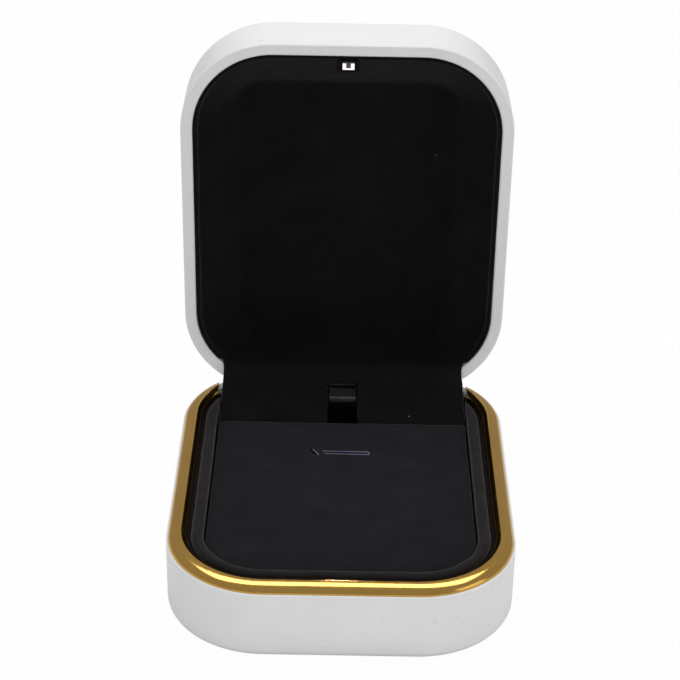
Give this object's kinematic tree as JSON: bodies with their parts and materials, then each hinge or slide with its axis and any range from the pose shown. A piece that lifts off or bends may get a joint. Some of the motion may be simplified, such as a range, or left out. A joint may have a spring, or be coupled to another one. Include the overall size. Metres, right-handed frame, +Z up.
{
  "type": "necklace display case",
  "caption": "Hinged necklace case with a white shell, gold trim ring, black velvet lining, lift-out slotted pad and a lid with a small lamp, shown standing open.",
  "frame": {"origin": "centre of the base's flat underside", "axes": "+X along the hinge, to the right as seen from the front; +Y from the front to the hinge; +Z up"},
  "size_m": [0.085, 0.1181, 0.1123],
  "materials": {
    "white_shell": "satin white lacquer",
    "gold_trim": "mirror gold plating on plastic",
    "black_velvet": "short-pile velvet on card",
    "black_plastic": "moulded matt black",
    "black_card": "black paper-covered card",
    "black_steel": "black painted steel",
    "bright_steel": "nickel-plated steel",
    "magnet_metal": "plated magnet",
    "lamp_lens": "lit light guide",
    "board_laminate": "green circuit board",
    "switch_glass": "clear glass tube",
    "contact_brass": "stamped strip",
    "wire_jacket": "red insulated wire"
  },
  "bodies": {
    "base": {"base_shell": "white_shell", "trim_ring": "gold_trim", "well_frame": "black_plastic", "base_liner": "black_velvet", "base_hinge_bracket": "black_steel", "base_hinge_screws": "bright_steel", "hinge_pin": "bright_steel", "snap_spring": "bright_steel", "spring_screw": "bright_steel", "switch_magnet": "magnet_metal", "hinge_flap": "black_velvet"},
    "insert": {"insert_card": "black_card", "display_pad": "black_velvet"},
    "lid": {"lid_shell": "white_shell", "lid_hinge_leaf": "black_steel", "lid_hinge_screws": "bright_steel", "lid_liner": "black_velvet", "led_bezel": "black_plastic", "led_lamp": "lamp_lens", "led_board": "board_laminate", "reed_switch": "switch_glass", "battery_tray": "black_plastic", "battery_cells": "bright_steel", "battery_contacts": "contact_brass", "led_wires": "wire_jacket"}
  },
  "joints": [
    {"name": "lid_hinge", "type": "hinge", "parent": "base", "child": "lid", "pos_m": [0, 0.04625, 0.01605], "axis": [1, 0, 0], "range_deg": [0, 90], "deforming": ["hinge_flap"]},
    {"name": "insert_lift", "type": "slide", "parent": "base", "child": "insert", "axis": [0, 0, 1], "range_m": [0, 0.008]}
  ]
}
